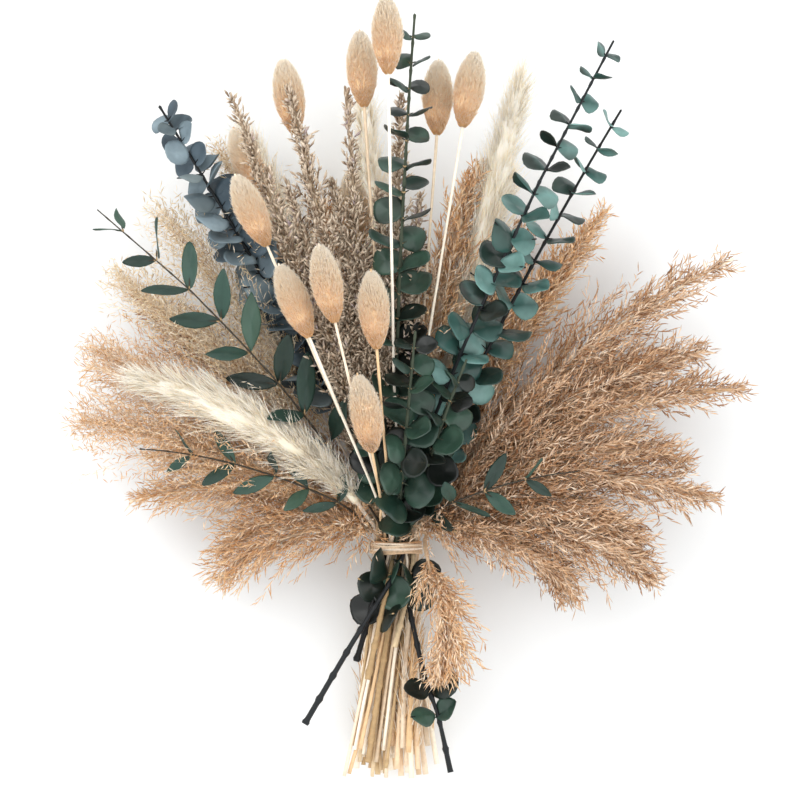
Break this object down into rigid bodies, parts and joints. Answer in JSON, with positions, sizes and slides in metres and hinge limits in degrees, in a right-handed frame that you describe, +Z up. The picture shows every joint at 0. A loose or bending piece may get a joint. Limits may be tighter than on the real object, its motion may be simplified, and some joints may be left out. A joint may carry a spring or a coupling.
{
  "type": "bunch of dried flowers",
  "caption": "Hand-tied bunch of dried grass heads, reeds, pampas, lavender and eucalyptus, lying on its back and bound by a raffia band.",
  "frame": {"origin": "middle of the bunch's outline, on the surface that it lies on", "axes": "+Y along the bunch from the cut ends to the heads, +Z up from the surface, +X to the right seen from above"},
  "size_m": [0.3666, 0.4296, 0.1428],
  "materials": {
    "raffia": "dry, matte, fibrous",
    "eucalyptus_green": "dry leaf, satin",
    "eucalyptus_grey": "dry leaf, waxy bloom",
    "sprig_green": "dry leaf, satin",
    "bunny_tail": "soft, hairy, matte",
    "pampas": "fluffy, silky",
    "reed": "feathery, matte",
    "fine_grass": "thin, dry, matte",
    "lavender": "dry, papery, matte"
  },
  "bodies": {
    "root": {"raffia_tie": "raffia", "eucalyptus_centre": "eucalyptus_green", "eucalyptus_right_front": "eucalyptus_green", "eucalyptus_right_back": "eucalyptus_green", "eucalyptus_blue": "eucalyptus_grey", "eucalyptus_low_front": "eucalyptus_green", "eucalyptus_low_right": "eucalyptus_green", "eucalyptus_low_left": "eucalyptus_green", "sprig_left": "sprig_green", "sprig_lower_left": "sprig_green", "sprig_lower_right": "sprig_green", "bunny_tail_1": "bunny_tail", "bunny_tail_2": "bunny_tail", "bunny_tail_3": "bunny_tail", "bunny_tail_4": "bunny_tail", "bunny_tail_5": "bunny_tail", "bunny_tail_6": "bunny_tail", "bunny_tail_7": "bunny_tail", "bunny_tail_8": "bunny_tail", "bunny_tail_9": "bunny_tail", "bunny_tail_10": "bunny_tail", "bunny_tail_11": "bunny_tail", "bunny_tail_12": "bunny_tail", "pampas_left": "pampas", "pampas_back_right": "pampas", "pampas_back_left": "pampas", "pampas_back_centre": "pampas", "reed_right_1": "reed", "reed_right_2": "reed", "reed_right_3": "reed", "reed_right_4": "reed", "reed_right_5": "reed", "reed_right_6": "reed", "reed_right_7": "reed", "reed_right_8": "reed", "reed_left_1": "reed", "reed_left_2": "reed", "reed_left_3": "reed", "reed_left_4": "reed", "reed_left_5": "reed", "reed_under_1": "reed", "reed_under_2": "reed", "reed_under_3": "reed", "reed_under_4": "reed", "reed_low_1": "reed", "reed_top_1": "reed", "reed_top_2": "reed", "fine_grass_1": "fine_grass", "fine_grass_2": "fine_grass", "fine_grass_3": "fine_grass", "fine_grass_4": "fine_grass", "fine_grass_5": "fine_grass", "lavender_1": "lavender", "lavender_2": "lavender", "lavender_3": "lavender", "lavender_4": "lavender", "lavender_5": "lavender", "lavender_6": "lavender", "lavender_7": "lavender", "lavender_8": "lavender"}
  },
  "joints": []
}
